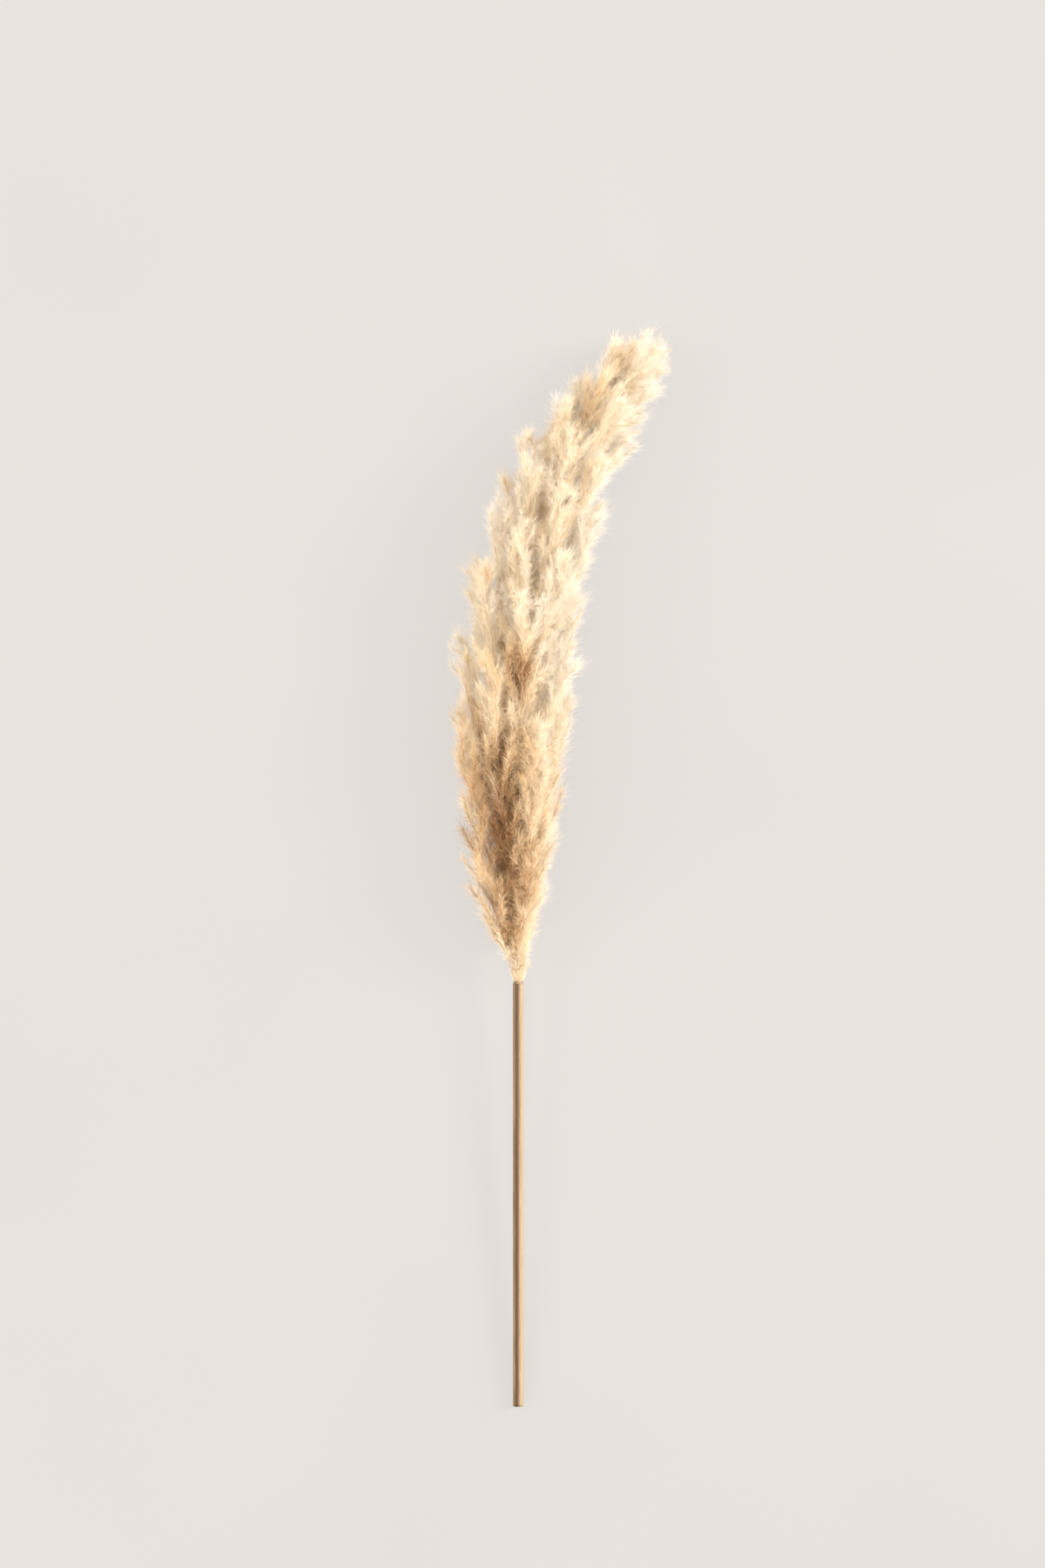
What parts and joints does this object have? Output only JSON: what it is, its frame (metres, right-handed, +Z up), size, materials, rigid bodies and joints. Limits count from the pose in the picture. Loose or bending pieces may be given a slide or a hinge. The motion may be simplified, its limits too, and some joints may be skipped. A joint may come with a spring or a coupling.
{
  "type": "pampas grass stem",
  "caption": "Cut, dried pampas grass stem lying on its side: a straight sheathed stalk with a long feathery cream plume that bends to one side at its top.",
  "frame": {"origin": "centre of the bounding box in plan, at the surface the stem lies on", "axes": "+Y runs along the stem from its cut end to the plume, +X is the side that the plume's top bends towards, +Z is up, away from the surface"},
  "size_m": [0.148, 0.8078, 0.0695],
  "materials": {
    "culm": "dry straw stalk, matt, fine lengthwise fibres, pale pith at the cut end",
    "sheath": "smooth dry leaf sheath, low satin, fine lengthwise veins",
    "collar": "short dry hairs, matt",
    "plume": "silky dry spikelets and hairs, cream at the tips and tan at the roots"
  },
  "bodies": {
    "root": {"culm": "culm", "leaf_sheath": "sheath", "collar_hairs": "collar", "spray_01": "plume", "spray_02": "plume", "spray_03": "plume", "spray_04": "plume", "spray_05": "plume", "spray_06": "plume", "spray_07": "plume", "spray_08": "plume", "spray_09": "plume", "spray_10": "plume", "spray_11": "plume", "spray_12": "plume", "spray_13": "plume", "spray_14": "plume", "spray_15": "plume", "spray_16": "plume", "spray_17": "plume", "spray_18": "plume", "spray_19": "plume", "spray_20": "plume", "spray_21": "plume", "spray_22": "plume", "spray_23": "plume", "spray_24": "plume", "spray_25": "plume", "spray_26": "plume", "spray_27": "plume", "spray_28": "plume", "spray_29": "plume", "spray_30": "plume", "spray_31": "plume", "spray_32": "plume", "spray_33": "plume", "spray_34": "plume", "spray_35": "plume", "spray_36": "plume", "spray_37": "plume", "spray_38": "plume", "spray_39": "plume", "spray_40": "plume", "spray_41": "plume", "spray_42": "plume", "spray_43": "plume", "spray_44": "plume", "spray_45": "plume", "spray_46": "plume"}
  },
  "joints": []
}
